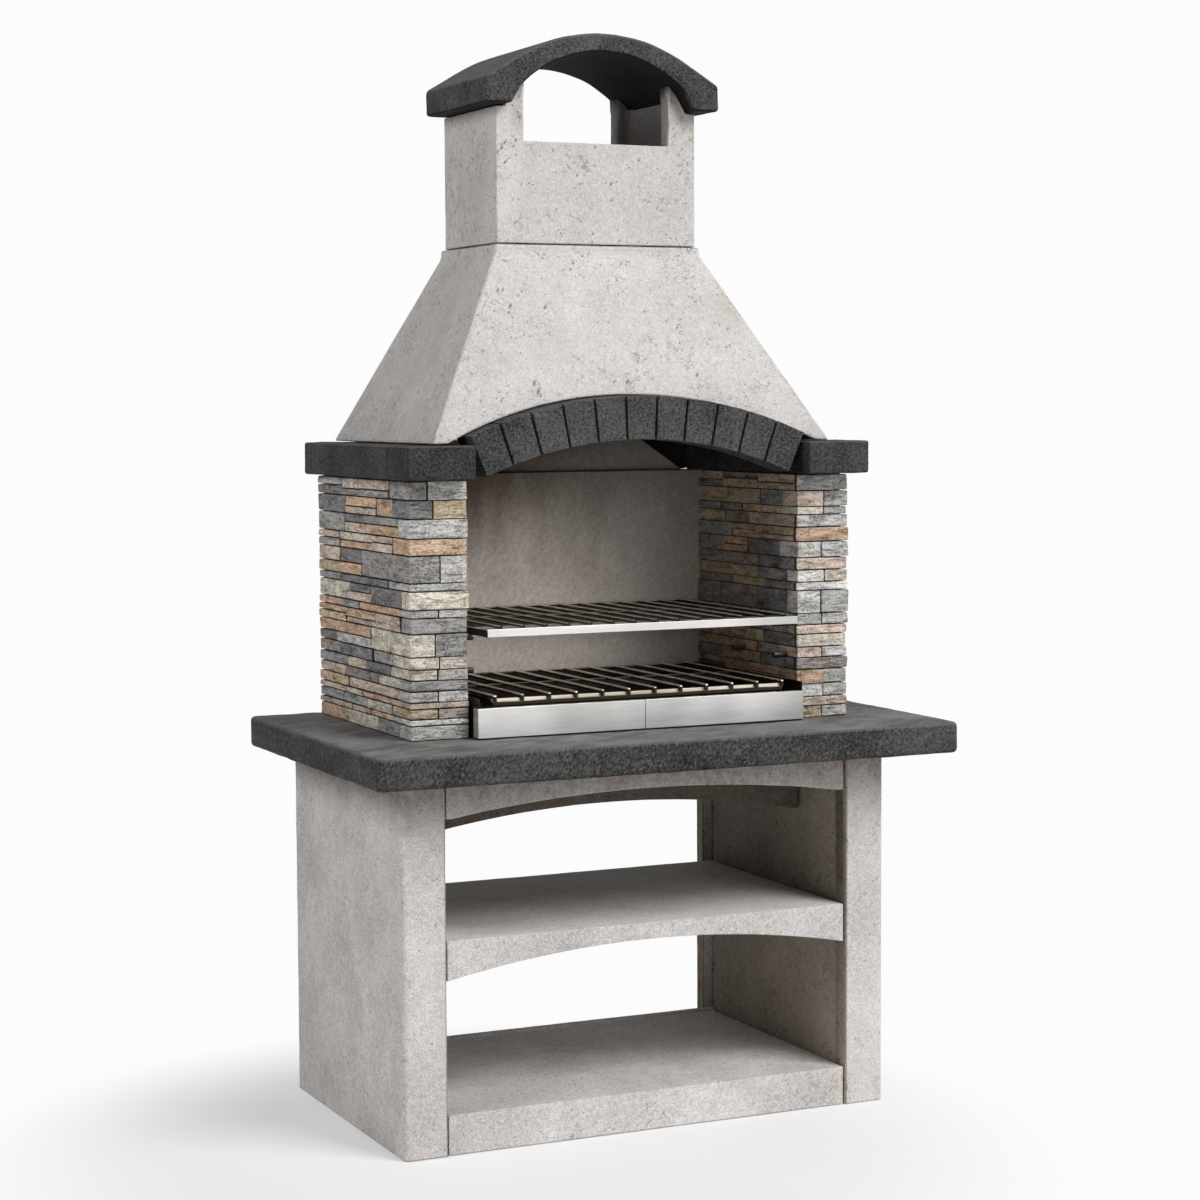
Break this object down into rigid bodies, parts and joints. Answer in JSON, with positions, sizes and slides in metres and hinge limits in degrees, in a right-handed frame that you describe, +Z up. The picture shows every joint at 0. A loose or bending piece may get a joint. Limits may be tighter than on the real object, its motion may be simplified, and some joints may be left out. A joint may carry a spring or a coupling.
{
  "type": "outdoor masonry barbecue",
  "caption": "Free-standing masonry barbecue with stone-clad firebox, arched hood, chimney with barrel roof cap, two grills, pull-out fire tray and open shelves below.",
  "frame": {"origin": "middle of the footprint on the floor", "axes": "+Z up, -Y towards the cook, +X to the right seen from the front"},
  "size_m": [1.286, 0.782, 2.236],
  "materials": {
    "concrete": "matte",
    "firebox_concrete": "matte",
    "dark_stone": "matte",
    "ledge_stone": "matte",
    "dark_steel": "satin",
    "stainless": "satin"
  },
  "bodies": {
    "root": {"left_side_panel": "concrete", "right_side_panel": "concrete", "bottom_shelf": "concrete", "middle_shelf": "concrete", "front_lintel": "concrete", "inner_lintel": "concrete", "worktop": "dark_stone", "left_wall_core": "concrete", "right_wall_core": "concrete", "back_panel": "firebox_concrete", "left_outer_stones": "ledge_stone", "left_inner_stones": "ledge_stone", "right_outer_stones": "ledge_stone", "right_inner_stones": "ledge_stone", "left_cornice_block": "dark_stone", "right_cornice_block": "dark_stone", "left_cornice_bar": "dark_stone", "right_cornice_bar": "dark_stone", "rear_beam": "concrete", "voussoir_01": "dark_stone", "voussoir_02": "dark_stone", "voussoir_03": "dark_stone", "voussoir_04": "dark_stone", "voussoir_05": "dark_stone", "voussoir_06": "dark_stone", "voussoir_07": "dark_stone", "voussoir_08": "dark_stone", "voussoir_09": "dark_stone", "voussoir_10": "dark_stone", "voussoir_11": "dark_stone", "hood": "concrete", "chimney": "concrete", "roof_cap": "dark_stone", "left_grill_pegs": "dark_steel", "right_grill_pegs": "dark_steel"},
    "upper_grill": {"upper_grill_grid": "dark_steel", "upper_grill_front": "stainless"},
    "fire_tray": {"tray_pan": "dark_steel", "left_tray_plate": "stainless", "right_tray_plate": "stainless"},
    "fire_grate": {"fire_grate_grid": "dark_steel", "fire_grate_front": "stainless"}
  },
  "joints": [
    {"name": "upper_grill_slide", "type": "slide", "parent": "root", "child": "upper_grill", "axis": [0, -1, 0], "range_m": [0, 0.2]},
    {"name": "fire_tray_slide", "type": "slide", "parent": "root", "child": "fire_tray", "axis": [0, -1, 0], "range_m": [0, 0.3]},
    {"name": "fire_grate_lift", "type": "slide", "parent": "fire_tray", "child": "fire_grate", "axis": [0, 0, 1], "range_m": [0, 0.1]}
  ]
}
